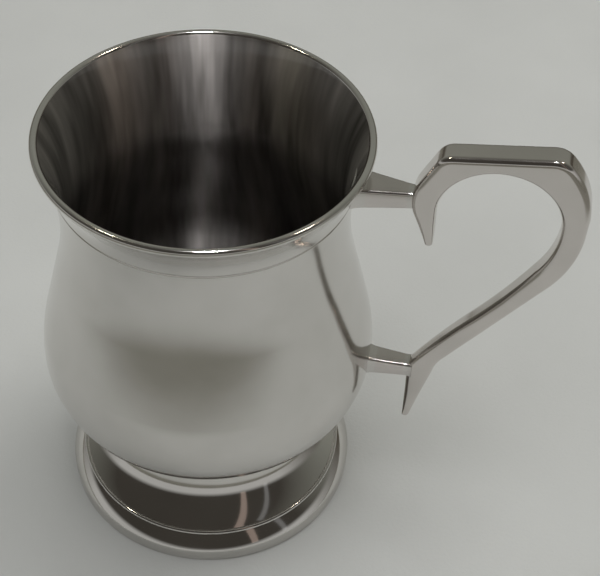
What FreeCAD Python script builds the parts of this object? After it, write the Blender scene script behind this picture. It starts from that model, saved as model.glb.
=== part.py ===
"""One-pint pewter tankard: a spun bowl on a hollow flared foot, with a cast ear-shaped handle.

The frame is +Z up, with the origin on the bowl's axis at the plane that the foot stands on.
The handle lies in the XZ plane and points along +X.  Every length is in millimetres.
"""
import FreeCAD, Part
import math
import os
import re
import Sketcher
from FreeCAD import Vector

SIZES = (
    # bowl: a rounded belly, a straight rise, a hollow neck and a lip that turns outwards
    ("rim_radius", 45.0),
    ("rim_height", 133.0),
    ("lip_round", 1.15),
    ("line_height", 120.3),
    ("line_depth", 0.25),
    ("line_half_width", 0.55),
    ("neck_radius", 39.5),
    ("neck_height", 107.5),
    ("neck_curve", 75.0),
    ("belly_radius", 48.6),
    ("belly_height", 55.5),
    ("belly_curve", 50.0),
    ("belly_turn", 24.0),
    ("bowl_wall", 1.6),
    ("mouth_overshoot", 5.0),
    # foot: a concave flare, a fine bead and a sloping moulding above a short upright edge
    ("waist_radius", 28.0),
    ("waist_height", 27.5),
    ("foot_reach", 33.0),
    ("foot_wall", 1.5),
    ("flare_curve", 20.8),
    ("flare_inner_radius", 37.0),
    ("flare_inner_height", 8.6),
    ("bead_inner_radius", 39.3),
    ("bead_inner_height", 9.0),
    ("bead_outer_radius", 40.5),
    ("bead_outer_height", 8.5),
    ("bead_round", 0.7),
    ("moulding_radius", 43.9),
    ("moulding_height", 4.6),
    ("moulding_curve", 20.0),
    ("foot_radius", 44.2),
    ("foot_edge_height", 3.6),
    ("foot_edge_round", 2.0),
    ("foot_seat_round", 0.5),
    ("foot_seat_inner", 42.4),
    ("foot_seam", 3.0),
    ("foot_seam_drop", 2.7),
    # handle: corners of the casting, round the outside and then back along the inside
    ("chin_x", 56.4),
    ("chin_z", 117.6),
    ("cheek_x", 57.0),
    ("cheek_z", 129.0),
    ("nose_curve", 14.0),
    ("shoulder_x", 61.8),
    ("shoulder_z", 138.8),
    ("crest_x", 91.8),
    ("crest_z", 143.2),
    ("back_x", 101.0),
    ("back_z", 121.0),
    ("back_curve", 25.5),
    ("elbow_x", 95.2),
    ("elbow_z", 99.4),
    ("elbow_curve", 38.0),
    ("hip_x", 69.3),
    ("hip_z", 62.0),
    ("hip_curve", 16.0),
    ("thigh_x", 67.2),
    ("thigh_z", 56.0),
    ("lower_tip_x", 62.15),
    ("lower_tip_z", 35.4),
    ("lower_tip_inner_x", 60.15),
    ("lower_tip_inner_z", 35.2),
    ("toe_x", 59.8),
    ("toe_z", 57.6),
    ("wrist_x", 75.2),
    ("wrist_z", 80.5),
    ("wrist_curve", 250.0),
    ("heel_curve", 170.0),
    ("palm_x", 90.0),
    ("palm_z", 103.0),
    ("palm_curve", 30.6),
    ("bow_x", 78.3),
    ("bow_z", 119.7),
    ("bow_radius", 16.2),
    ("upper_tip_x", 62.3),
    ("upper_tip_z", 108.6),
    ("upper_tip_inner_x", 60.35),
    ("upper_tip_inner_z", 108.2),
    ("tip_round", 1.05),
    ("handle_thick_top", 7.6),
    ("handle_thick_bottom", 4.4),
    ("handle_corner_round", 1.6),
    ("handle_edge_round", 0.6),
    ("taper_overshoot", 1.0),
    # lugs: tapered bars that hold the handle off the bowl
    ("upper_lug_height", 121.7),
    ("upper_lug_root", 36.0),
    ("upper_lug_end", 58.0),
    ("upper_lug_root_width", 11.4),
    ("upper_lug_end_width", 3.7),
    ("upper_lug_root_depth", 6.6),
    ("upper_lug_end_depth", 5.1),
    ("lower_lug_height", 55.7),
    ("lower_lug_root", 44.0),
    ("lower_lug_end", 60.4),
    ("lower_lug_root_width", 6.9),
    ("lower_lug_end_width", 4.9),
    ("lower_lug_root_depth", 6.7),
    ("lower_lug_end_depth", 4.8),
    ("lug_edge_round", 0.7),
    # solder: collars that thin out to a feather edge along each lug
    ("solder_edge", 0.03),
    ("bowl_solder_spread", 1.2),
    ("upper_bowl_solder_end", 42.8),
    ("lower_bowl_solder_end", 49.9),
    ("handle_solder_spread", 1.0),
    ("upper_handle_solder_start", 54.3),
    ("lower_handle_solder_start", 59.1),
)
SHEET_NAMES = {alias: f"Sizes.{alias}" for alias, _ in SIZES}
# the sketcher's own numbers for a point of an edge, for the origin and for the upright axis
START, END, CENTRE = 1, 2, 3
ORIGIN, UPRIGHT_AXIS = -1, -2

# first guesses, which the tangencies of the bowl's outline then settle
LIP_TURN_DEGREES = 33
LIP_FLARE_CURVE = 29

# the turned pieces are drawn across the handle, so that their seams lie clear of the lugs
TURNING_PLANE = "YZ_Plane"
SIDE_PLANE = "XZ_Plane"

# tests on the handle's edges and on its taper
ACROSS_AT_LEAST = 1.0
SAME_PLACE = 0.01
NEAR_THE_SIDE = 0.05
MOST_LEFT_BY_TAPER = 0.98

document = FreeCAD.newDocument("Tankard")
sheet = document.addObject("Spreadsheet::Sheet", "Sizes")
for row, (alias, size) in enumerate(SIZES, start=1):
    sheet.set(f"A{row}", alias)
    sheet.set(f"B{row}", str(size))
    sheet.setAlias(f"B{row}", alias)
document.recompute()


def terms(words):
    """Write sheet names and arithmetic as an expression that reads the sheet."""
    return re.sub("[a-z_]+", lambda found: SHEET_NAMES.get(found[0], found[0]), words)


def amount(words):
    """The number that the words come to now."""
    return float(sheet.evalExpression(terms(words)))


def new_body(name):
    body = document.addObject("PartDesign::Body", name)
    body.Label = name
    return body


def new_sketch(body, name, role, offset=None):
    """A sketch on one of the body's own origin planes, moved along its normal by the offset."""
    sketch = body.newObject("Sketcher::SketchObject", name)
    plane = next(item for item in body.Origin.OriginFeatures if item.Role == role)
    sketch.AttachmentSupport = (plane, "")
    sketch.MapMode = "FlatFace"
    if offset:
        sketch.setExpression("AttachmentOffset.Base.z", terms(offset))
    return sketch


def tie(sketch, kind, *where, to):
    """A measured constraint whose value follows the sheet."""
    index = sketch.addConstraint(Sketcher.Constraint(kind, *where, amount(to)))
    sketch.setExpression(f"Constraints[{index}]", terms(to))


def link(sketch, kind, *where):
    sketch.addConstraint(Sketcher.Constraint(kind, *where))


def line(sketch, first, second):
    return sketch.addGeometry(Part.LineSegment(Vector(*first, 0), Vector(*second, 0)), False)


def arc(sketch, centre, radius, low, high):
    """An anticlockwise arc between two angles in degrees."""
    circle = Part.Circle(Vector(*centre, 0), Vector(0, 0, 1), radius)
    return sketch.addGeometry(Part.ArcOfCircle(circle, math.radians(low), math.radians(high)), False)


def arc_between(sketch, first, second, radius, turn):
    """The short arc from first to second: turn is 1 for anticlockwise and -1 for clockwise."""
    if turn < 0:
        first, second = second, first
    chord = (second[0] - first[0], second[1] - first[1])
    length = math.hypot(*chord)
    rise = math.sqrt(radius * radius - length * length / 4)
    centre = ((first[0] + second[0]) / 2 - chord[1] / length * rise,
              (first[1] + second[1]) / 2 + chord[0] / length * rise)
    low = math.degrees(math.atan2(first[1] - centre[1], first[0] - centre[0]))
    high = math.degrees(math.atan2(second[1] - centre[1], second[0] - centre[0]))
    return arc(sketch, centre, radius, low, high if high > low else high + 360)


def draw(sketch, stops):
    """Close an outline through the stops and tie it to the sheet.

    A stop is (across, up).  Where it also has a radius and a turn, an arc leads on to the next stop.
    """
    places = [(amount(stop[0]), amount(stop[1])) for stop in stops]
    ends = []
    for index, stop in enumerate(stops):
        here, there = places[index], places[(index + 1) % len(stops)]
        if len(stop) == 2:
            ends.append((line(sketch, here, there), START, END))
        else:
            radius, turn = stop[2:]
            edge = arc_between(sketch, here, there, amount(radius), turn)
            tie(sketch, "Radius", edge, to=radius)
            ends.append((edge, START, END) if turn > 0 else (edge, END, START))
    for index, (edge, begin, _) in enumerate(ends):
        previous, _, finish = ends[index - 1]
        link(sketch, "Coincident", previous, finish, edge, begin)
        for kind, axis, words in (("DistanceX", UPRIGHT_AXIS, stops[index][0]),
                                  ("DistanceY", ORIGIN, stops[index][1])):
            if words == "0":
                link(sketch, "PointOnObject", edge, begin, axis)
            else:
                tie(sketch, kind, ORIGIN, START, edge, begin, to=words)


def turned(body, sketch, kind="Revolution"):
    """Turn the sketch once round the upright axis, as new material or as a groove."""
    feature = body.newObject(f"PartDesign::{kind}", f"{body.Name}_{kind.lower()}")
    feature.Profile = sketch
    feature.ReferenceAxis = (sketch, ["V_Axis"])
    feature.Angle = 360
    document.recompute()
    return feature


def edges_where(shape, test):
    return [f"Edge{index}" for index, edge in enumerate(shape.Edges, start=1) if test(edge)]


def rounded(body, name, edges, radius):
    """Round the named edges of the body's last feature."""
    feature = body.newObject("PartDesign::Fillet", name)
    feature.Base = (body.Group[-2], edges)
    feature.setExpression("Radius", terms(radius))
    document.recompute()
    return feature


def cut(name, base, *tools):
    """Take each tool away from the base.  The last cut gives the piece its name."""
    for index, tool in enumerate(tools, start=1):
        piece = document.addObject("Part::Cut", name if index == len(tools) else f"{name}_{index}")
        piece.Base, piece.Tool = base, tool
        base = piece
    document.recompute()
    return base


def bowl_outline(body, name, inset):
    """Half of the bowl's section, from the bottom up to the lip, set in from the outer wall."""
    sketch = new_sketch(body, name, TURNING_PLANE)
    inner = inset != "0"
    belly = (amount("belly_radius - belly_curve"), amount("belly_height"))
    turn = (amount("belly_radius - belly_turn"), amount("belly_height"))
    neck = (amount("neck_radius + neck_curve"), amount("neck_height"))
    lip = (amount("rim_radius - lip_round"), amount("rim_height - lip_round"))
    offset = amount(inset)
    belly_size, turn_size = amount("belly_curve") - offset, amount("belly_turn") - offset
    neck_size, lip_size = amount("neck_curve") + offset, amount("lip_round")

    # the straight rise touches the belly and the neck, so both meet it at one angle
    apart = (neck[0] - belly[0], neck[1] - belly[1])
    slope = math.degrees(math.atan2(apart[1], apart[0])
                         - math.acos((neck_size + belly_size) / math.hypot(*apart)))
    line_angle = math.degrees(math.asin((amount("line_height") - neck[1]) / neck_size))

    def on(centre, radius, angle):
        angle = math.radians(angle)
        return (centre[0] + radius * math.cos(angle), centre[1] + radius * math.sin(angle))

    floor_height = turn[1] - turn_size
    floor = line(sketch, (0, floor_height), (turn[0], floor_height))
    under = arc(sketch, turn, turn_size, -90, 0)
    over = arc(sketch, belly, belly_size, 0, slope)
    rise = line(sketch, on(belly, belly_size, slope), on(neck, neck_size, 180 + slope))
    hollow = arc(sketch, neck, neck_size, 180 - line_angle, 180 + slope)
    lip_angle = 180 - LIP_TURN_DEGREES if inner else -LIP_TURN_DEGREES
    flare_start = on(neck, neck_size, 180 - line_angle)
    flare = arc_between(sketch, flare_start, on(lip, lip_size, lip_angle), LIP_FLARE_CURVE, -1)
    edge = arc(sketch, lip, lip_size, min(90, lip_angle), max(90, lip_angle))
    above = amount("rim_height + mouth_overshoot" if inner else "rim_height")
    top = line(sketch, (lip[0], above), (0, above))
    axis = line(sketch, (0, above), (0, floor_height))

    link(sketch, "Horizontal", floor)
    link(sketch, "PointOnObject", floor, START, UPRIGHT_AXIS)
    link(sketch, "Tangent", floor, END, under, START)
    tie(sketch, "Radius", under, to=f"belly_turn - {inset}")
    link(sketch, "Horizontal", under, CENTRE, under, END)
    link(sketch, "Coincident", under, END, over, START)
    tie(sketch, "Radius", over, to=f"belly_curve - {inset}")
    link(sketch, "Horizontal", over, CENTRE, over, START)
    tie(sketch, "DistanceX", ORIGIN, START, over, START, to=f"belly_radius - {inset}")
    tie(sketch, "DistanceY", ORIGIN, START, over, START, to="belly_height")
    link(sketch, "Tangent", over, END, rise, START)
    link(sketch, "Tangent", rise, END, hollow, END)
    tie(sketch, "Radius", hollow, to=f"neck_curve + {inset}")
    tie(sketch, "DistanceX", ORIGIN, START, hollow, CENTRE, to="neck_radius + neck_curve")
    tie(sketch, "DistanceY", ORIGIN, START, hollow, CENTRE, to="neck_height")
    tie(sketch, "DistanceY", ORIGIN, START, hollow, START, to="line_height")
    link(sketch, "Tangent", hollow, START, flare, END)
    link(sketch, "Tangent", flare, START, edge, END if inner else START)
    tie(sketch, "Radius", edge, to="lip_round")
    tie(sketch, "DistanceX", ORIGIN, START, edge, CENTRE, to="rim_radius - lip_round")
    tie(sketch, "DistanceY", ORIGIN, START, edge, CENTRE, to="rim_height - lip_round")
    link(sketch, "Vertical", edge, CENTRE, edge, START if inner else END)
    if inner:
        mouth = line(sketch, (lip[0], amount("rim_height")), (lip[0], above))
        link(sketch, "Coincident", edge, START, mouth, START)
        link(sketch, "Vertical", mouth)
        tie(sketch, "DistanceY", mouth, START, mouth, END, to="mouth_overshoot")
        link(sketch, "Coincident", mouth, END, top, START)
    else:
        link(sketch, "Coincident", edge, END, top, START)
    link(sketch, "Horizontal", top)
    link(sketch, "PointOnObject", top, END, UPRIGHT_AXIS)
    link(sketch, "Coincident", top, END, axis, START)
    link(sketch, "Coincident", axis, END, floor, START)
    return sketch


def make_bowl():
    """The turned outside as a solid blank, and the bowl: the blank less its hollow."""
    blank = new_body("bowl_blank")
    turned(blank, bowl_outline(blank, "bowl_outside", "0"))
    whole = blank.Shape.Volume

    # the fine line cut round the neck under the lip
    groove = new_sketch(blank, "neck_line", TURNING_PLANE)
    surface = "neck_radius + neck_curve - sqrt(neck_curve ^ 2 - (line_height - neck_height) ^ 2)"
    draw(groove, [(f"{surface} - line_depth", "line_height"),
                  (f"{surface} + line_half_width", "line_height - 2 * line_half_width"),
                  (f"{surface} + line_half_width", "line_height + 2 * line_half_width")])
    turned(blank, groove, "Groove")
    if blank.Shape.Volume >= whole:
        raise ValueError("the neck line cut nothing")

    hollow = new_body("bowl_hollow")
    turned(hollow, bowl_outline(hollow, "bowl_inside", "bowl_wall"))
    return blank, cut("bowl", blank, hollow)


def make_foot(blank):
    """The hollow foot, and the seam of solder in the corner between the foot and the bowl."""
    foot_blank = new_body("foot_blank")
    section = new_sketch(foot_blank, "foot_section", TURNING_PLANE)
    inner_radius = "waist_radius - foot_wall"
    draw(section, [
        (inner_radius, "foot_reach"),
        (inner_radius, "waist_height", "flare_curve + foot_wall", 1),
        ("flare_inner_radius", "flare_inner_height"),
        ("foot_seat_inner", "foot_edge_height"),
        ("foot_seat_inner", "0"),
        ("foot_radius - foot_seat_round", "0", "foot_seat_round", 1),
        ("foot_radius", "foot_seat_round"),
        ("foot_radius", "foot_edge_height", "foot_edge_round", 1),
        ("moulding_radius", "moulding_height", "moulding_curve", 1),
        ("bead_outer_radius", "bead_outer_height", "bead_round", 1),
        ("bead_inner_radius", "bead_inner_height", "flare_curve", -1),
        ("waist_radius", "waist_height"),
        ("waist_radius", "foot_reach"),
    ])
    turned(foot_blank, section)
    foot = cut("foot", foot_blank, blank)

    seam_blank = new_body("seam_blank")
    section = new_sketch(seam_blank, "seam_section", TURNING_PLANE)
    corner, outer = (
        f"belly_height - sqrt(belly_turn ^ 2 - (waist_radius + {out} - belly_radius + belly_turn) ^ 2)"
        for out in ("0", "foot_seam"))
    draw(section, [
        ("waist_radius - foot_wall / 2", f"{corner} - foot_seam_drop"),
        ("waist_radius", f"{corner} - foot_seam_drop", "foot_seam", -1),
        ("waist_radius + foot_seam", outer),
        ("waist_radius + foot_seam", "foot_reach + foot_seam"),
        ("waist_radius - foot_wall / 2", "foot_reach + foot_seam"),
    ])
    turned(seam_blank, section)
    seam = cut("foot_solder", seam_blank, blank, foot)
    return foot, seam


def make_handle():
    """The ear-shaped casting, thicker at its crest than at its lower tip."""
    body = new_body("handle")
    outline = new_sketch(body, "handle_outline", SIDE_PLANE)
    draw(outline, [
        ("chin_x", "chin_z"),
        ("upper_tip_inner_x", "upper_tip_inner_z", "tip_round", 1),
        ("upper_tip_x", "upper_tip_z"),
        ("bow_x - bow_radius", "bow_z", "bow_radius", -1),
        ("bow_x", "bow_z + bow_radius", "bow_radius", -1),
        ("bow_x + bow_radius", "bow_z", "palm_curve", -1),
        ("palm_x", "palm_z", "heel_curve", -1),
        ("wrist_x", "wrist_z", "wrist_curve", 1),
        ("toe_x", "toe_z"),
        ("lower_tip_inner_x", "lower_tip_inner_z", "tip_round", 1),
        ("lower_tip_x", "lower_tip_z"),
        ("thigh_x", "thigh_z", "hip_curve", -1),
        ("hip_x", "hip_z"),
        ("elbow_x", "elbow_z", "elbow_curve", 1),
        ("back_x", "back_z", "back_curve", 1),
        ("crest_x", "crest_z"),
        ("shoulder_x", "shoulder_z"),
        ("cheek_x", "cheek_z", "nose_curve", 1),
    ])
    pad = body.newObject("PartDesign::Pad", "handle_pad")
    pad.Profile = outline
    pad.SideType = "Symmetric"
    pad.setExpression("Length", terms("handle_thick_top"))
    document.recompute()

    def on_the_crest(edge):
        """True for the two corners that run across the casting at the ends of its flat top."""
        first, last = edge.Vertexes[0].Point, edge.Vertexes[-1].Point
        ends = (("crest_x", "crest_z"), ("shoulder_x", "shoulder_z"))
        return abs(first.y - last.y) > ACROSS_AT_LEAST and any(
            math.hypot(first.x - amount(across), first.z - amount(up)) < SAME_PLACE for across, up in ends)
    rounded(body, "handle_corners", edges_where(body.Shape, on_the_crest), "handle_corner_round")
    whole = body.Shape.Volume

    # the two wedges that leave the casting thinner towards its lower tip
    wedges = new_sketch(body, "handle_taper", "YZ_Plane")
    for side in ("", "-"):
        turn = [
            (f"{side}(handle_thick_bottom / 2)", "lower_tip_z - taper_overshoot"),
            (f"{side}(handle_thick_top)", "lower_tip_z - taper_overshoot"),
            (f"{side}(handle_thick_top)", "crest_z"),
            (f"{side}(handle_thick_top / 2)", "crest_z"),
        ]
        draw(wedges, turn if side else turn[::-1])
    taper = body.newObject("PartDesign::Pocket", "handle_wedges")
    taper.Profile = wedges
    taper.Type = "ThroughAll"
    taper.SideType = "Symmetric"
    document.recompute()
    if body.Shape.Volume > MOST_LEFT_BY_TAPER * whole:
        raise ValueError("the handle's taper cut nothing")

    def on_a_side(edge):
        middle = edge.valueAt((edge.FirstParameter + edge.LastParameter) / 2)
        runs_across = abs(edge.Vertexes[0].Point.y - edge.Vertexes[-1].Point.y) > ACROSS_AT_LEAST
        return abs(middle.y) > amount("handle_thick_bottom") / 2 - NEAR_THE_SIDE and not runs_across
    rounded(body, "handle_edges", edges_where(body.Shape, on_a_side), "handle_edge_round")
    return body


def bar(name, prefix, root=None, end=None):
    """A tapered bar between two upright rectangles with rounded corners.

    It is the lug's own stretch, unless root and end say otherwise.  Each gives a place along the lug
    and how much stouter than the lug the bar is there.
    """
    body = new_body(name)
    sections = []
    for label, (place, extra) in (("root", root or (f"{prefix}_root", "0")),
                                  ("end", end or (f"{prefix}_end", "0"))):
        share = f"({place} - {prefix}_root) / ({prefix}_end - {prefix}_root)"
        half = {side: f"(({prefix}_root_{side} + ({prefix}_end_{side} - {prefix}_root_{side}) * {share})"
                      f" / 2 + {extra})" for side in ("width", "depth")}
        flat = {side: f"({half[side]} - lug_edge_round)" for side in half}
        section = new_sketch(body, f"{name}_{label}", "YZ_Plane", place)
        stops = []
        for across, up in ((1, -1), (1, 1), (-1, 1), (-1, -1)):
            edge = (f"{across} * {half['width']}", f"{prefix}_height + {up} * {flat['depth']}")
            level = (f"{across} * {flat['width']}", f"{prefix}_height + {up} * {half['depth']}")
            first, second = (edge, level) if across == up else (level, edge)
            stops += [(*first, "lug_edge_round", 1), second]
        draw(section, stops)
        sections.append(section)
    loft = body.newObject("PartDesign::AdditiveLoft", f"{name}_loft")
    loft.Profile = sections[0]
    loft.Sections = [sections[1]]
    loft.Ruled = True
    document.recompute()
    return body


def make_lugs(blank, handle):
    """Each lug between the bowl and the handle, with a collar of solder at both of its ends."""
    pieces = []
    for place in ("upper", "lower"):
        prefix = f"{place}_lug"
        lug = cut(prefix, bar(f"{prefix}_blank", prefix), blank, handle)
        at_bowl = bar(f"{place}_bowl_collar", prefix,
                      root=(f"{prefix}_root", "bowl_solder_spread"),
                      end=(f"{place}_bowl_solder_end", "solder_edge"))
        at_handle = bar(f"{place}_handle_collar", prefix,
                        root=(f"{place}_handle_solder_start", "solder_edge"),
                        end=(f"{prefix}_end", "handle_solder_spread"))
        pieces += [lug, cut(f"{place}_bowl_solder", at_bowl, blank, lug),
                   cut(f"{place}_handle_solder", at_handle, handle, lug)]
    return pieces


bowl_blank, bowl = make_bowl()
foot, foot_solder = make_foot(bowl_blank)
handle = make_handle()
pieces = [bowl, foot, foot_solder, handle, *make_lugs(bowl_blank, handle)]
document.recompute()

for item in document.Objects:
    if "Invalid" in item.State or "Error" in item.State:
        raise ValueError(f"{item.Name} failed: {item.getStatusString()}")
for piece in pieces:
    if piece.Shape.isNull() or not piece.Shape.isValid() or len(piece.Shape.Solids) != 1:
        raise ValueError(f"{piece.Label} is not one valid solid")

os.makedirs("parts", exist_ok=True)
for piece in pieces:
    piece.Shape.exportStep(f"parts/{piece.Label}.step")
    print(f"{piece.Label}: {piece.Shape.Volume / 1000:.3f} cm3")
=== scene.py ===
"""Looks of a one-pint pewter tankard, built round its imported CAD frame.  Lengths are in metres.

Finer meshes of the same shape replace every piece but the foot's solder, which keeps the CAD's.
+Z is up the bowl's axis and the handle points along +X.
"""

import math

import bmesh
import bpy
from mathutils import Matrix, Vector


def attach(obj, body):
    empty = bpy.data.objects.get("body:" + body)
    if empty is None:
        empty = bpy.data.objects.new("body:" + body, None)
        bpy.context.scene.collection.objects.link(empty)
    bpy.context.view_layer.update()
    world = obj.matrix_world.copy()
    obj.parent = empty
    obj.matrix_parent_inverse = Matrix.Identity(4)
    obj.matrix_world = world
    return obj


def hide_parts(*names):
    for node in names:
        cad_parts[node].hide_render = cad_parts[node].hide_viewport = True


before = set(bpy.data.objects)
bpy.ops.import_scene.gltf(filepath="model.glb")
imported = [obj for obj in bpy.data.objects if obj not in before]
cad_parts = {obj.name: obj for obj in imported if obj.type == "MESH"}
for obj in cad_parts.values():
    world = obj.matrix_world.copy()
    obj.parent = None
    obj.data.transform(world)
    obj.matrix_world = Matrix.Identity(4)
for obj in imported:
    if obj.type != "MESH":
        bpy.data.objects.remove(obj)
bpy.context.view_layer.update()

MM = 0.001
TAU = 2 * math.pi

# bowl
RIM_RADIUS, RIM_HEIGHT = 45.0 * MM, 133.0 * MM
LIP_ROUND = 1.15 * MM
LIP_CENTRE = (RIM_RADIUS - LIP_ROUND, RIM_HEIGHT - LIP_ROUND)
NECK_RADIUS, NECK_HEIGHT, NECK_CURVE = 39.5 * MM, 107.5 * MM, 75.0 * MM
BELLY_RADIUS, BELLY_HEIGHT = 48.6 * MM, 55.5 * MM
BELLY_CURVE, BELLY_TURN = 50.0 * MM, 24.0 * MM
BOWL_WALL = 1.6 * MM
BOWL_FLOOR = BELLY_HEIGHT - BELLY_TURN + BOWL_WALL / 2
LINE_HEIGHT, LINE_DEPTH, LINE_HALF_WIDTH = 120.3 * MM, 0.25 * MM, 0.55 * MM

# foot
WAIST_RADIUS, WAIST_HEIGHT = 28.0 * MM, 27.5 * MM
FOOT_WALL = 1.5 * MM
FLARE_CURVE = 20.8 * MM
FLARE_INNER = (37.0 * MM, 8.6 * MM)
BEAD_INNER, BEAD_OUTER, BEAD_ROUND = (39.3 * MM, 9.0 * MM), (40.5 * MM, 8.5 * MM), 0.7 * MM
MOULDING, MOULDING_CURVE = (43.9 * MM, 4.6 * MM), 20.0 * MM
FOOT_RADIUS, FOOT_EDGE_HEIGHT, FOOT_EDGE_ROUND = 44.2 * MM, 3.6 * MM, 2.0 * MM
FOOT_SEAT_ROUND, FOOT_SEAT_INNER = 0.5 * MM, 42.4 * MM

# handle: the centre of its bow and the corners of its outline, as (x, z)
BOW_CENTRE, BOW_RADIUS = (78.3 * MM, 119.7 * MM), 16.2 * MM
NOSE, CHIN = (57.0 * MM, 129.0 * MM), (56.4 * MM, 117.6 * MM)
UPPER_TIP_FRONT, UPPER_TIP_BACK = (60.35 * MM, 108.2 * MM), (62.3 * MM, 108.6 * MM)
PALM_END, HEEL_END = (90.0 * MM, 103.0 * MM), (75.2 * MM, 80.5 * MM)
ARM_END = (59.8 * MM, 57.6 * MM)
LOWER_TIP_FRONT, LOWER_TIP_BACK = (60.15 * MM, 35.2 * MM), (62.15 * MM, 35.4 * MM)
HIP, HIP_END, ELBOW = (67.2 * MM, 56.0 * MM), (69.3 * MM, 62.0 * MM), (95.2 * MM, 99.4 * MM)
SHOULDER = (101.0 * MM, 121.0 * MM)
CREST_FRONT, CREST_BACK = (61.8 * MM, 138.8 * MM), (91.8 * MM, 143.2 * MM)

# handle: how far corners are eased, its thickness, and the radii of its edges and arcs
EASED = ((CREST_BACK, 2.8 * MM), (CREST_FRONT, 2.4 * MM), (SHOULDER, 3.0 * MM), (ARM_END, 1.2 * MM))
LOWER_TIP_HEIGHT, CREST_HEIGHT = LOWER_TIP_BACK[1], CREST_BACK[1]
THICK_TOP, THICK_BOTTOM = 7.6 * MM, 4.4 * MM
EDGE_ROUND, EDGE_STEPS, EDGE_SHARE = 1.7 * MM, 8, 0.8
TIP_ROUND, NOSE_CURVE = 1.05 * MM, 14.0 * MM
HIP_CURVE, ELBOW_CURVE, BACK_CURVE = 16.0 * MM, 38.0 * MM, 25.5 * MM
PALM_CURVE, HEEL_CURVE, WRIST_CURVE = 30.6 * MM, 170.0 * MM, 250.0 * MM
CORNER_STEPS, ROUND_PASSES = 10, 30

# lugs: (height, root, end), then (width, depth) at the root and at the end, as the CAD tapers them.
# A stretch is the part that is made, and a collar runs from its thick end to its thin one.
UPPER_LUG = ((121.7 * MM, 36.0 * MM, 58.0 * MM), (11.4 * MM, 6.6 * MM), (3.7 * MM, 5.1 * MM))
LOWER_LUG = ((55.7 * MM, 44.0 * MM, 60.4 * MM), (6.9 * MM, 6.7 * MM), (4.9 * MM, 4.8 * MM))
UPPER_STRETCH, LOWER_STRETCH = (39.9 * MM, 58.0 * MM), (47.8 * MM, 61.5 * MM)
UPPER_COLLARS = ((39.9 * MM, 43.6 * MM), (57.6 * MM, 54.3 * MM))
LOWER_COLLARS = ((47.8 * MM, 50.6 * MM), (61.3 * MM, 58.9 * MM))
COLLAR_SPREAD, COLLAR_SKIN, COLLAR_HOLLOW = 0.4 * MM, 0.02 * MM, 2.5
LUG_EDGE_ROUND, LUG_EDGE_STEPS, LUG_STEPS = 0.9 * MM, 5, 20

# fineness of the meshes
TURNS = 288
ARC_STEP = math.radians(3)
STRAIGHT_STEP, OUTLINE_STEP = 2.0 * MM, 0.6 * MM
LINE_STEP, UNDIVIDED = LINE_HALF_WIDTH / 8, 1.0  # the second is longer than any run
FLOOR_SIDES = 96
SHARP_DEGREES, FLAT_FACE_WEIGHT = 38, 100

# lengths too small to matter
ON_AXIS, SAME_POINT, SAME_LEVEL = 0.001 * MM, 0.002 * MM, 0.01 * MM

# surface of the pewter
MARKS_PER_METRE, HAZE_PER_METRE, RIPPLE_PER_METRE = 3000.0, 45.0, 70.0
MARKS_HAZE, MARKS_STRENGTH, MARKS_DEPTH = 0.012, 0.12, 0.01 * MM
NOISE_LOW, NOISE_HIGH = 0.3, 0.7

# the brushed inside of the bowl: its tone is painted shade with painted upright reflection streaks,
# painted darker still below the neck
SATIN_SHEEN, SATIN_SHEEN_ROUGH = 1.0, 0.07
STREAKS, STREAK_CHANGE = 5.0, 3.0
BRUSHING, QUARTER_TURN = 1.0, 0.25
# painted shade: below this height the inside's tone falls to this share, rising to full at the neck
PAINTED_SHADE_BELOW, PAINTED_SHADE_SHARE = 96.0 * MM, 0.55
FACES_UP = 0.9  # least upward part of a normal on the cup's floor

# metals: light and dark tone, least and most roughness, depth of the ripple
BOWL_LOOK = (0.70, 0.685, 0.665), (0.63, 0.615, 0.59), (0.10, 0.16), 0.05 * MM
# painted shade and painted reflections: the inside's very dark tone is the shade down in the cup,
# and its light tone paints upright reflection streaks
SATIN_AND_PAINTED_SHADE_LOOK = (0.68, 0.64, 0.62), (0.15, 0.14, 0.13), (0.40, 0.46), 0.0
FOOT_LOOK = (0.68, 0.66, 0.635), (0.61, 0.595, 0.57), (0.05, 0.09), 0.0
HANDLE_LOOK = (0.70, 0.665, 0.64), (0.62, 0.59, 0.565), (0.10, 0.17), 0.35 * MM
# painted shade: the lugs are the handle's pewter in darker, pinker tones
LUG_LOOK = (0.68, 0.64, 0.62), (0.57, 0.54, 0.52), (0.10, 0.17), 0.3 * MM
SOLDER_LOOK = (0.70, 0.68, 0.66), (0.60, 0.58, 0.56), (0.16, 0.26), 0.5 * MM

# cloth: a painted pool of light round the tankard and painted shade beyond, which the belly mirrors
# as a dark band
FLOOR_RADIUS = 0.75
CLOTH_LIGHT, CLOTH_DARK, CLOTH_SHADE = (0.66, 0.67, 0.655), (0.62, 0.63, 0.615), (0.29, 0.285, 0.25)
CLOTH_ROUGH = 0.9
PATCHES_PER_METRE, WEAVE_PER_METRE = 14.0, 900.0
WEAVE_STRENGTH, WEAVE_DEPTH = 0.5, 0.2 * MM
POOL_CENTRE, POOL_EDGE, POOL_END = (0.03, 0.12, 0), 0.27, 0.37

# room: near is the viewer's side, and low is below LOW_TOP, the sine of its elevation
ROOM_NEAR, ROOM_FAR = (0.055, 0.050, 0.043), (0.250, 0.255, 0.225)
ROOM_LOW_NEAR, ROOM_LOW_FAR = (0.50, 0.50, 0.485), (0.085, 0.075, 0.060)
ROOM_BELOW = (0.19, 0.185, 0.155)
NEAR_END, FAR_START = -0.2, 0.7
LOW_TOP, LOW_BLEND = math.sin(math.radians(12)), 0.25

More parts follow.
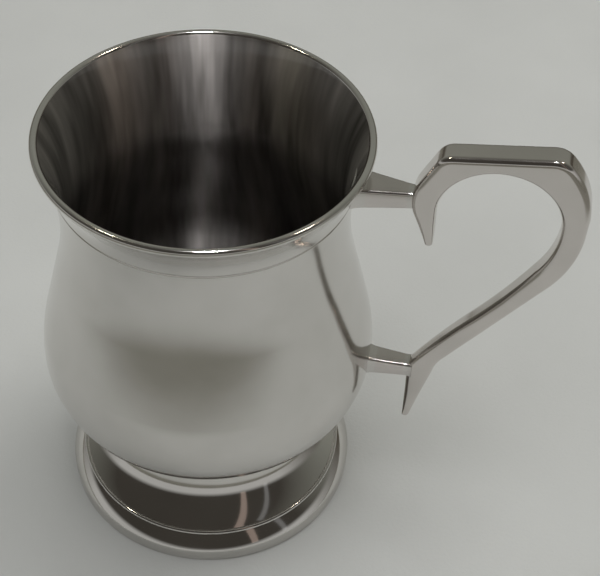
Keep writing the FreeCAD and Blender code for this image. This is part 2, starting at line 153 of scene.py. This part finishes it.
# lights: name, place, width, height, power in watts, colour
AIM = Vector((0.02, 0, 0.06))
SOFT_LIGHTS = (
    ("key", (0.75, 0.75, 1.25), 0.9, 0.9, 5.5, (1.0, 0.985, 0.96)),
    ("fill", (-0.45, -0.65, 1.4), 0.9, 0.9, 3.5, (0.97, 0.985, 1.0)),
    ("ceiling", (0.05, 0.05, 1.8), 1.3, 1.3, 13.0, (1.0, 0.995, 0.985)),
)
MIRRORED_LIGHTS = (
    ("lamp_middle", (0.08, -0.29, 1.8), 0.12, 0.12, 10.0, (1.0, 1.0, 1.0)),
    ("lamp_left", (-0.85, -0.03, 1.70), 0.10, 0.10, 1.4, (1.0, 0.95, 0.75)),
    ("lamp_right", (0.80, 0.35, 1.72), 0.12, 0.12, 2.0, (1.0, 0.85, 0.72)),
    ("strip_warm", (0.75, -0.82, 0.95), 0.12, 1.5, 0.15, (1.0, 0.78, 0.68)),
    ("strip_grey", (1.06, -0.52, 0.85), 0.09, 1.4, 0.06, (0.95, 0.97, 1.0)),
)

# camera, with its angles in degrees
CAMERA_PLACE = (0.0718, -0.2680, 0.3638)
CAMERA_TURN, CAMERA_DOWN, CAMERA_ROLL = 9.51, 46.19, 2.50
CAMERA_LENS, CAMERA_SENSOR = 83.04, 36.0


def arc_points(centre, radius, start, end, step=ARC_STEP):
    """Points along an arc, from one angle to the other, ends included."""
    count = max(2, math.ceil(abs(end - start) / step))
    return [(centre[0] + radius * math.cos(start + (end - start) * i / count),
             centre[1] + radius * math.sin(start + (end - start) * i / count))
            for i in range(count + 1)]


def arc_to(first, second, radius, turn, step=ARC_STEP):
    """Points of the short arc from first to second, with turn 1 if anticlockwise and -1 if not."""
    chord = Vector(second) - Vector(first)
    rise = math.sqrt(radius * radius - chord.length_squared / 4) * turn
    centre = (Vector(first) + Vector(second)) / 2 + Vector((-chord.y, chord.x)).normalized() * rise
    start = math.atan2(first[1] - centre.y, first[0] - centre.x)
    end = math.atan2(second[1] - centre.y, second[0] - centre.x)
    if turn > 0 and end < start:
        end += TAU
    if turn < 0 and end > start:
        end -= TAU
    return arc_points(centre, radius, start, end, step)


def straight(first, second, longest=STRAIGHT_STEP):
    """Points along a straight run, ends included."""
    first, second = Vector(first), Vector(second)
    count = max(1, math.ceil((second - first).length / longest))
    return [tuple(first.lerp(second, i / count)) for i in range(count + 1)]


def joined(*runs):
    """One line through several runs of points, each shared end given once."""
    points = []
    for run in runs:
        for point in run:
            if not points or math.dist(points[-1], point) > SAME_POINT:
                points.append(tuple(point))
    return points


def bowl_line(inset):
    """The wall from the bottom's centre up to the lip's tube, and the angle where they meet."""
    belly = (BELLY_RADIUS - BELLY_CURVE, BELLY_HEIGHT)
    turn = (BELLY_RADIUS - BELLY_TURN, BELLY_HEIGHT)
    neck = Vector((NECK_RADIUS + NECK_CURVE, NECK_HEIGHT))
    belly_size, turn_size, neck_size = BELLY_CURVE - inset, BELLY_TURN - inset, NECK_CURVE + inset

    # the straight rise touches the belly and the neck
    apart = neck - Vector(belly)
    slope = math.atan2(apart.y, apart.x) - math.acos((neck_size + belly_size) / apart.length)
    line_angle = math.asin((LINE_HEIGHT - NECK_HEIGHT) / neck_size)

    # the flare leaves the neck at the line and touches the lip's tube
    along = Vector((-math.cos(line_angle), math.sin(line_angle)))
    joint = neck + neck_size * along
    to_lip = Vector(LIP_CENTRE) - joint
    touch = -LIP_ROUND if inset else LIP_ROUND
    flare_size = (to_lip.length_squared - LIP_ROUND ** 2) / (2 * (touch - to_lip.dot(along)))
    flare = joint - flare_size * along
    lip_angle = math.atan2(LIP_CENTRE[1] - flare.y, LIP_CENTRE[0] - flare.x)

    return joined(
        straight((0, turn[1] - turn_size), (turn[0], turn[1] - turn_size)),
        arc_points(turn, turn_size, -math.pi / 2, 0),
        arc_points(belly, belly_size, 0, slope, ARC_STEP / 2),
        arc_points(neck, neck_size, math.pi + slope, math.pi - line_angle, ARC_STEP / 3),
        arc_points(flare, flare_size, math.pi - line_angle, lip_angle, ARC_STEP / 2),
    ), lip_angle


def with_neck_line(points):
    """The wall with the fine line turned into it: close points near the line, pushed in."""
    bottom, top = LINE_HEIGHT - 2 * LINE_HALF_WIDTH, LINE_HEIGHT + 2 * LINE_HALF_WIDTH
    close = []
    for first, second in zip(points, points[1:]):
        low, high = sorted((first[1], second[1]))
        near = low < top and high > bottom and first[0] > NECK_RADIUS
        close += straight(first, second, LINE_STEP if near else UNDIVIDED)[:-1]
    close.append(points[-1])
    pushed = []
    for across, up in close:
        share = abs(up - LINE_HEIGHT) / LINE_HALF_WIDTH
        push = LINE_DEPTH * (0.5 + 0.5 * math.cos(math.pi * share)) if share < 1 else 0
        pushed.append((across - push, up))
    return pushed


def bowl_profile():
    """Up the outside, over the lip and down the inside to the middle of the floor."""
    outside, outer_angle = bowl_line(0)
    inside, inner_angle = bowl_line(BOWL_WALL)
    lip = arc_points(LIP_CENTRE, LIP_ROUND, outer_angle - math.pi, inner_angle, 4 * ARC_STEP)
    return joined(with_neck_line(outside), lip, reversed(inside))


def foot_profile():
    """Once round the foot's section, from the top of its inside down, under and up the outside."""
    def under_bowl(radius):
        return BELLY_HEIGHT - math.sqrt(BELLY_TURN ** 2 - (radius - BELLY_RADIUS + BELLY_TURN) ** 2)

    inner = WAIST_RADIUS - FOOT_WALL
    inner_top, outer_top = (inner, under_bowl(inner)), (WAIST_RADIUS, under_bowl(WAIST_RADIUS))
    seat_edge = (FOOT_RADIUS - FOOT_SEAT_ROUND, 0)
    return joined(
        straight(inner_top, (inner, WAIST_HEIGHT)),
        arc_to((inner, WAIST_HEIGHT), FLARE_INNER, FLARE_CURVE + FOOT_WALL, 1),
        straight(FLARE_INNER, (FOOT_SEAT_INNER, FOOT_EDGE_HEIGHT)),
        straight((FOOT_SEAT_INNER, FOOT_EDGE_HEIGHT), (FOOT_SEAT_INNER, 0)),
        straight((FOOT_SEAT_INNER, 0), seat_edge),
        arc_to(seat_edge, (FOOT_RADIUS, FOOT_SEAT_ROUND), FOOT_SEAT_ROUND, 1, 5 * ARC_STEP),
        straight((FOOT_RADIUS, FOOT_SEAT_ROUND), (FOOT_RADIUS, FOOT_EDGE_HEIGHT)),
        arc_to((FOOT_RADIUS, FOOT_EDGE_HEIGHT), MOULDING, FOOT_EDGE_ROUND, 1),
        arc_to(MOULDING, BEAD_OUTER, MOULDING_CURVE, 1, ARC_STEP / 3),
        arc_to(BEAD_OUTER, BEAD_INNER, BEAD_ROUND, 1, 5 * ARC_STEP),
        arc_to(BEAD_INNER, (WAIST_RADIUS, WAIST_HEIGHT), FLARE_CURVE, -1, ARC_STEP / 2),
        straight((WAIST_RADIUS, WAIST_HEIGHT), outer_top),
        straight(outer_top, inner_top),
    )[:-1]


def finished_mesh(name, mesh):
    """Put a bmesh into the scene as a smooth piece that keeps its corners sharp."""
    bmesh.ops.recalc_face_normals(mesh, faces=mesh.faces)
    data = bpy.data.meshes.new(name)
    mesh.to_mesh(data)
    mesh.free()
    data.shade_smooth()
    data.set_sharp_from_angle(angle=math.radians(SHARP_DEGREES))
    piece = bpy.data.objects.new(name, data)
    bpy.context.scene.collection.objects.link(piece)
    return piece


def piece_through_rings(name, mesh, rings):
    """Join each ring of corners to the next, and close the first and the last with a face."""
    for first, second in zip(rings, rings[1:]):
        for i in range(len(first)):
            j = (i + 1) % len(first)
            mesh.faces.new((first[i], first[j], second[j], second[i]))
    mesh.faces.new(rings[0])
    mesh.faces.new(rings[-1])
    return finished_mesh(name, mesh)


def turned_piece(name, profile, closed):
    """Turn a profile of (radius, height) once round the upright axis, as a loop if it is closed."""
    mesh = bmesh.new()
    rings = []
    for radius, height in profile:
        if radius < ON_AXIS:
            rings.append([mesh.verts.new((0, 0, height))] * TURNS)
        else:
            rings.append([mesh.verts.new((radius * math.cos(TAU * i / TURNS),
                                          radius * math.sin(TAU * i / TURNS), height))
                          for i in range(TURNS)])
    pairs = list(zip(rings, rings[1:])) + ([(rings[-1], rings[0])] if closed else [])
    for first, second in pairs:
        for i in range(TURNS):
            j = (i + 1) % TURNS
            corners = list(dict.fromkeys((first[i], first[j], second[j], second[i])))
            if len(corners) > 2:
                mesh.faces.new(corners)
    return finished_mesh(name, mesh)


def handle_outline():
    """Once round the casting, as (x, z), anticlockwise with +X to the right and +Z up.

    Each corner comes with the radius and the turn of the arc that leads on from it, if one does.
    """
    bow_x, bow_z = BOW_CENTRE
    bow_left, bow_top = (bow_x - BOW_RADIUS, bow_z), (bow_x, bow_z + BOW_RADIUS)
    bow_right = (bow_x + BOW_RADIUS, bow_z)
    corners = [
        (CHIN,),
        (UPPER_TIP_FRONT, TIP_ROUND, 1),
        (UPPER_TIP_BACK,),
        (bow_left, BOW_RADIUS, -1),
        (bow_top, BOW_RADIUS, -1),
        (bow_right, PALM_CURVE, -1),
        (PALM_END, HEEL_CURVE, -1),
        (HEEL_END, WRIST_CURVE, 1),
        (ARM_END,),
        (LOWER_TIP_FRONT, TIP_ROUND, 1),
        (LOWER_TIP_BACK,),
        (HIP, HIP_CURVE, -1),
        (HIP_END,),
        (ELBOW, ELBOW_CURVE, 1),
        (SHOULDER, BACK_CURVE, 1),
        (CREST_BACK,),
        (CREST_FRONT,),
        (NOSE, NOSE_CURVE, 1),
    ]
    runs = []
    for index, (here, *bend) in enumerate(corners):
        there = corners[(index + 1) % len(corners)][0]
        if bend:
            runs.append(arc_to(here, there, *bend, min(5 * ARC_STEP, OUTLINE_STEP / bend[0])))
        else:
            runs.append(straight(here, there, OUTLINE_STEP))
    outline = [Vector(point) for point in joined(*runs)[:-1]]
    for corner, reach in EASED:
        ease_corner(outline, Vector(corner), reach)
    return outline


def ease_corner(outline, corner, reach):
    """Swap the points within reach of a corner for a curve that is drawn towards it."""
    near = [i for i, point in enumerate(outline) if (point - corner).length < reach]
    start, end = outline[near[0] - 1], outline[near[-1] + 1]
    shares = [i / CORNER_STEPS for i in range(1, CORNER_STEPS)]
    outline[near[0]:near[-1] + 1] = [
        start.lerp(corner, share).lerp(corner.lerp(end, share), share) for share in shares]


def edge_rounds(outline, normals):
    """How round the edge can be at each point of the outline, so as to fit inside the casting."""
    room = []
    for here, normal in zip(outline, normals):
        sizes = [EDGE_ROUND]
        for other in outline:
            depth = (other - here).dot(normal)
            if depth > SAME_LEVEL:
                sizes.append(EDGE_SHARE * (other - here).length_squared / (2 * depth))
        room.append(min(sizes))
    even = room
    for _ in range(ROUND_PASSES):
        even = [min(most, (even[i - 1] + 2 * even[i] + even[(i + 1) % len(even)]) / 4)
                for i, most in enumerate(room)]
    return even


def handle_piece():
    """The casting: its outline drawn out in thickness, thinner downwards, with rounded edges."""
    outline = handle_outline()
    count = len(outline)
    ways = [(outline[(i + 1) % count] - outline[i - 1]).normalized() for i in range(count)]
    normals = [Vector((-way.y, way.x)) for way in ways]
    rounds = edge_rounds(outline, normals)
    mesh = bmesh.new()

    def ring(side, share):
        """A ring round the rounded edge: share runs from 0 on the outline to 1 on the flat side."""
        across, along = 1 - math.cos(share * math.pi / 2), 1 - math.sin(share * math.pi / 2)
        corners = []
        for point, normal, edge in zip(outline, normals, rounds):
            rise = (point.y - LOWER_TIP_HEIGHT) / (CREST_HEIGHT - LOWER_TIP_HEIGHT)
            half = (THICK_BOTTOM + (THICK_TOP - THICK_BOTTOM) * rise) / 2
            place = point + normal * edge * across
            corners.append(mesh.verts.new((place.x, side * (half - edge * along), place.y)))
        return corners

    shares = [step / EDGE_STEPS for step in range(EDGE_STEPS + 1)]
    rings = [ring(-1, share) for share in reversed(shares)] + [ring(1, share) for share in shares]
    piece = piece_through_rings("handle_casting", mesh, rings)
    weighted = piece.modifiers.new("flat_sides", "WEIGHTED_NORMAL")
    weighted.weight = FLAT_FACE_WEIGHT
    weighted.keep_sharp = True
    return piece


def bar_piece(name, lug, stretch, spread):
    """A tapered bar along X with rounded edges, that stands out from the lug by spread(share)."""
    (height, root, end), root_size, end_size = lug
    mesh = bmesh.new()
    rings = []
    for step in range(LUG_STEPS + 1):
        share = step / LUG_STEPS
        x = stretch[0] + (stretch[1] - stretch[0]) * share
        along = (x - root) / (end - root)
        half = [(a + (b - a) * along) / 2 + spread(share) for a, b in zip(root_size, end_size)]
        flat = [value - LUG_EDGE_ROUND for value in half]
        corners = []
        for quarter, (side, level) in enumerate(((1, 1), (-1, 1), (-1, -1), (1, -1))):
            for turn in range(LUG_EDGE_STEPS + 1):
                angle = math.pi / 2 * (quarter + turn / LUG_EDGE_STEPS)
                y = side * flat[0] + LUG_EDGE_ROUND * math.cos(angle)
                z = height + level * flat[1] + LUG_EDGE_ROUND * math.sin(angle)
                corners.append(mesh.verts.new((x, y, z)))
        rings.append(corners)
    return piece_through_rings(name, mesh, rings)


def collar_spread(share):
    """How far a collar stands out: most at the joint, then less and less in a hollow curve."""
    return COLLAR_SKIN + COLLAR_SPREAD * (1 - share) ** COLLAR_HOLLOW


def lug_pieces(place, lug, stretch, collars):
    """A lug, and a collar of solder at each of its ends."""
    bar = bar_piece(f"{place}_lug_bar", lug, stretch, lambda share: 0)
    hand_over(bar, f"{place}_lug", lug_metal)
    for where, collar in zip(("bowl", "handle"), collars):
        piece = bar_piece(f"{place}_{where}_solder_collar", lug, collar, collar_spread)
        hand_over(piece, f"{place}_{where}_solder", solder_metal)


class Nodes:
    """A short way to add shader nodes and join them."""

    def __init__(self, tree):
        self.tree = tree
        self.tree.nodes.clear()

    def add(self, kind, inputs=None, **settings):
        """A new node.  Each input is a number, a colour or another node's output."""
        node = self.tree.nodes.new(kind)
        for key, value in settings.items():
            setattr(node, key, value)
        for key, value in (inputs or {}).items():
            if isinstance(value, bpy.types.NodeSocket):
                self.tree.links.new(value, node.inputs[key])
            else:
                node.inputs[key].default_value = value
        return node

    def math(self, operation, first, second=0.0):
        return self.add("ShaderNodeMath", {0: first, 1: second}, operation=operation).outputs[0]

    def noise(self, vector, scale, detail, rough=0.55):
        made = self.add("ShaderNodeTexNoise",
                        {"Vector": vector, "Scale": scale, "Detail": detail, "Roughness": rough})
        return made.outputs["Fac"]

    def ramp(self, value, start, end, low=0.0, high=1.0, kind="LINEAR"):
        """Go from low, where the value is start or less, to high, where it is end or more."""
        made = self.add("ShaderNodeMapRange", {"Value": value, "From Min": start, "From Max": end,
                                               "To Min": low, "To Max": high},
                        interpolation_type=kind)
        return made.outputs[0]

    def spread(self, value, low=0.0, high=1.0):
        """Stretch the middle of a noise over low to high."""
        return self.ramp(value, NOISE_LOW, NOISE_HIGH, low, high)

    def mix(self, share, first, second):
        """Blend two tones, each a colour or a node's output: share is how much of the second."""
        first, second = (tone if isinstance(tone, bpy.types.NodeSocket) else (*tone, 1)
                         for tone in (first, second))
        made = self.add("ShaderNodeMix", {0: share, 6: first, 7: second}, data_type="RGBA")
        return made.outputs[2]


def metal(name, look, spun=False, brushed=False):
    """Pewter: a light and a dark tone in hazy patches, fine polishing marks and a slow ripple.

    A brushed surface was rubbed round and round, which draws its reflections out upright.  It has a
    thin sheen over it, and its tone is painted shade with painted upright reflection streaks,
    darker down inside the bowl.
    """
    light, dark, rough, wobble = look
    material = bpy.data.materials.new(name)
    material.use_nodes = True
    nodes = Nodes(material.node_tree)
    place = nodes.add("ShaderNodeTexCoord").outputs["Object"]

    # polishing marks run round a turned piece, and every way on a casting
    if spun:
        x, y, z = nodes.add("ShaderNodeSeparateXYZ", {0: place}).outputs
        squares = nodes.math("MULTIPLY", x, x), nodes.math("MULTIPLY", y, y)
        across = nodes.math("SQRT", nodes.math("ADD", *squares))
        grain_place = nodes.add("ShaderNodeCombineXYZ", {0: across, 2: z}).outputs[0]
    else:
        grain_place = place
    marks = nodes.noise(grain_place, MARKS_PER_METRE, detail=6.0, rough=0.7)
    if brushed:
        # painted reflection streaks: inside the cup the tone patches run as upright streaks round
        # the axis, and they also vary the roughness
        turn = nodes.add("ShaderNodeCombineXYZ", {
            0: nodes.math("DIVIDE", x, across), 1: nodes.math("DIVIDE", y, across),
            2: nodes.math("MULTIPLY", z, STREAK_CHANGE)}).outputs[0]
        haze = nodes.noise(turn, STREAKS, detail=3.0)
    else:
        haze = nodes.noise(place, HAZE_PER_METRE, detail=5.0)
    ripple = nodes.noise(place, RIPPLE_PER_METRE, detail=1.0)

    tone = nodes.mix(nodes.spread(haze), dark, light)
    roughness = nodes.math("ADD", nodes.spread(haze, *rough),
                           nodes.spread(marks, -MARKS_HAZE, MARKS_HAZE))
    fine = nodes.add("ShaderNodeBump", {"Strength": MARKS_STRENGTH, "Distance": MARKS_DEPTH,
                                        "Height": marks})
    slow = nodes.add("ShaderNodeBump", {"Strength": 1.0, "Distance": wobble, "Height": ripple,
                                        "Normal": fine.outputs[0]})
    shader = nodes.add("ShaderNodeBsdfPrincipled", {"Base Color": tone, "Roughness": roughness,
                                                    "Normal": slow.outputs[0], "Metallic": 1.0})
    if brushed:
        # painted shade: the tone is darkened down inside the bowl, below the neck
        depth = nodes.ramp(z, PAINTED_SHADE_BELOW, NECK_HEIGHT, PAINTED_SHADE_SHARE, kind="SMOOTHSTEP")
        darker = nodes.add("ShaderNodeVectorMath", {0: tone, "Scale": depth}, operation="SCALE")
        nodes.tree.links.new(darker.outputs[0], shader.inputs["Base Color"])
        shader.inputs["Anisotropic"].default_value = BRUSHING
        shader.inputs["Anisotropic Rotation"].default_value = QUARTER_TURN
        shader.inputs["Coat Weight"].default_value = SATIN_SHEEN
        shader.inputs["Coat Roughness"].default_value = SATIN_SHEEN_ROUGH
        round_about = nodes.add("ShaderNodeTangent", direction_type="RADIAL", axis="Z")
        nodes.tree.links.new(round_about.outputs[0], shader.inputs["Tangent"])
    nodes.add("ShaderNodeOutputMaterial", {"Surface": shader.outputs[0]})
    return material


def cloth():
    """The pale cloth that the tankard stands on, with a painted pool of light round it and painted
    shade beyond.
    """
    material = bpy.data.materials.new("cloth")
    material.use_nodes = True
    nodes = Nodes(material.node_tree)
    place = nodes.add("ShaderNodeTexCoord").outputs["Object"]
    patches = nodes.noise(place, PATCHES_PER_METRE, detail=3.0)
    weave = nodes.noise(place, WEAVE_PER_METRE, detail=2.0)
    tone = nodes.mix(nodes.spread(patches), CLOTH_DARK, CLOTH_LIGHT)
    # painted shade: outside the painted pool of light the cloth's tone falls to CLOTH_SHADE
    away = nodes.add("ShaderNodeVectorMath", {0: place, 1: POOL_CENTRE}, operation="DISTANCE")
    dim = nodes.ramp(away.outputs["Value"], POOL_EDGE, POOL_END, kind="SMOOTHSTEP")
    bump = nodes.add("ShaderNodeBump", {"Strength": WEAVE_STRENGTH, "Distance": WEAVE_DEPTH,
                                        "Height": weave})
    shader = nodes.add("ShaderNodeBsdfPrincipled", {"Base Color": nodes.mix(dim, tone, CLOTH_SHADE),
                                                    "Roughness": CLOTH_ROUGH,
                                                    "Normal": bump.outputs[0]})
    nodes.add("ShaderNodeOutputMaterial", {"Surface": shader.outputs[0]})
    return material


def dress(piece, material):
    """Give a piece one material."""
    piece.data.materials.clear()
    piece.data.materials.append(material)


def hand_over(piece, node, material):
    """Let a finer piece stand for a CAD node, dressed in the given material."""
    dress(piece, material)
    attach(piece, "root")
    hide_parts(node)


def make_floor():
    """A round of cloth that fills the main view."""
    mesh = bmesh.new()
    bmesh.ops.create_circle(mesh, cap_ends=True, radius=FLOOR_RADIUS, segments=FLOOR_SIDES)
    floor = finished_mesh("floor", mesh)
    dress(floor, cloth())


def make_light(name, place, width, height, power, colour, mirrored):
    """A light aimed at the tankard.

    A mirrored one is seen in the pewter and lights nothing else.  A soft one lights the cloth and
    isn't seen in the pewter.
    """
    data = bpy.data.lights.new(name, "AREA")
    data.shape = "RECTANGLE"
    data.size, data.size_y, data.energy, data.color = width, height, power, colour
    light = bpy.data.objects.new(name, data)
    light.visible_glossy, light.visible_diffuse = mirrored, not mirrored
    light.location = place
    light.rotation_euler = (Vector(place) - AIM).to_track_quat("Z", "Y").to_euler()
    bpy.context.scene.collection.objects.link(light)


def make_room():
    """A dim room: pale low down behind the viewer, dark above, and olive grey on the far side."""
    world = bpy.data.worlds.new("room")
    bpy.context.scene.world = world
    world.use_nodes = True
    nodes = Nodes(world.node_tree)
    way = nodes.add("ShaderNodeTexCoord").outputs["Generated"]
    _, far_way, up_way = nodes.add("ShaderNodeSeparateXYZ", {0: way}).outputs
    far = nodes.ramp(far_way, NEAR_END, FAR_START)
    high = nodes.ramp(up_way, (1 - LOW_BLEND) * LOW_TOP, (1 + LOW_BLEND) * LOW_TOP)
    walls = nodes.mix(high, nodes.mix(far, ROOM_LOW_NEAR, ROOM_LOW_FAR),
                      nodes.mix(far, ROOM_NEAR, ROOM_FAR))
    room = nodes.mix(nodes.math("GREATER_THAN", up_way, 0.0), ROOM_BELOW, walls)
    sky = nodes.add("ShaderNodeBackground", {"Color": room, "Strength": 1.0})
    nodes.add("ShaderNodeOutputWorld", {"Surface": sky.outputs[0]})


def make_camera():
    """A viewer above and in front, a little to the handle's side, looking down at the bowl."""
    data = bpy.data.cameras.new("camera")
    data.lens, data.sensor_width = CAMERA_LENS, CAMERA_SENSOR
    camera = bpy.data.objects.new("camera", data)
    turn = Matrix.Rotation(math.radians(CAMERA_TURN), 4, "Z")
    tilt = Matrix.Rotation(math.radians(90 - CAMERA_DOWN), 4, "X")
    roll = Matrix.Rotation(math.radians(CAMERA_ROLL), 4, "Z")
    camera.matrix_world = Matrix.Translation(CAMERA_PLACE) @ turn @ tilt @ roll
    bpy.context.scene.collection.objects.link(camera)
    bpy.context.scene.camera = camera


make_camera()
make_floor()
make_room()
for soft_light in SOFT_LIGHTS:
    make_light(*soft_light, False)
for mirrored_light in MIRRORED_LIGHTS:
    make_light(*mirrored_light, True)

bowl_metal = metal("bowl_pewter", BOWL_LOOK, spun=True)
satin_and_painted_shade_metal = metal("bowl_satin_painted_shade", SATIN_AND_PAINTED_SHADE_LOOK, spun=True, brushed=True)
foot_metal = metal("foot_pewter", FOOT_LOOK, spun=True)
handle_metal = metal("handle_pewter", HANDLE_LOOK)
lug_metal = metal("lug_pewter", LUG_LOOK)
solder_metal = metal("solder", SOLDER_LOOK)

# the bowl is brushed inside, below the lip, where its tone is painted shade with painted reflection
# streaks
bowl_piece = turned_piece("bowl_spun", bowl_profile(), False)
hand_over(bowl_piece, "bowl", bowl_metal)
bowl_piece.data.materials.append(satin_and_painted_shade_metal)
for face in bowl_piece.data.polygons:
    in_cup = BOWL_FLOOR < face.center.z < LIP_CENTRE[1]
    looks_in = face.normal.x * face.center.x + face.normal.y * face.center.y < 0
    if in_cup and (looks_in or face.normal.z > FACES_UP):
        face.material_index = 1

hand_over(turned_piece("foot_spun", foot_profile(), True), "foot", foot_metal)
hand_over(handle_piece(), "handle", handle_metal)
lug_pieces("upper", UPPER_LUG, UPPER_STRETCH, UPPER_COLLARS)
lug_pieces("lower", LOWER_LUG, LOWER_STRETCH, LOWER_COLLARS)
dress(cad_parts["foot_solder"], solder_metal)

bpy.context.scene.view_settings.view_transform = "Standard"
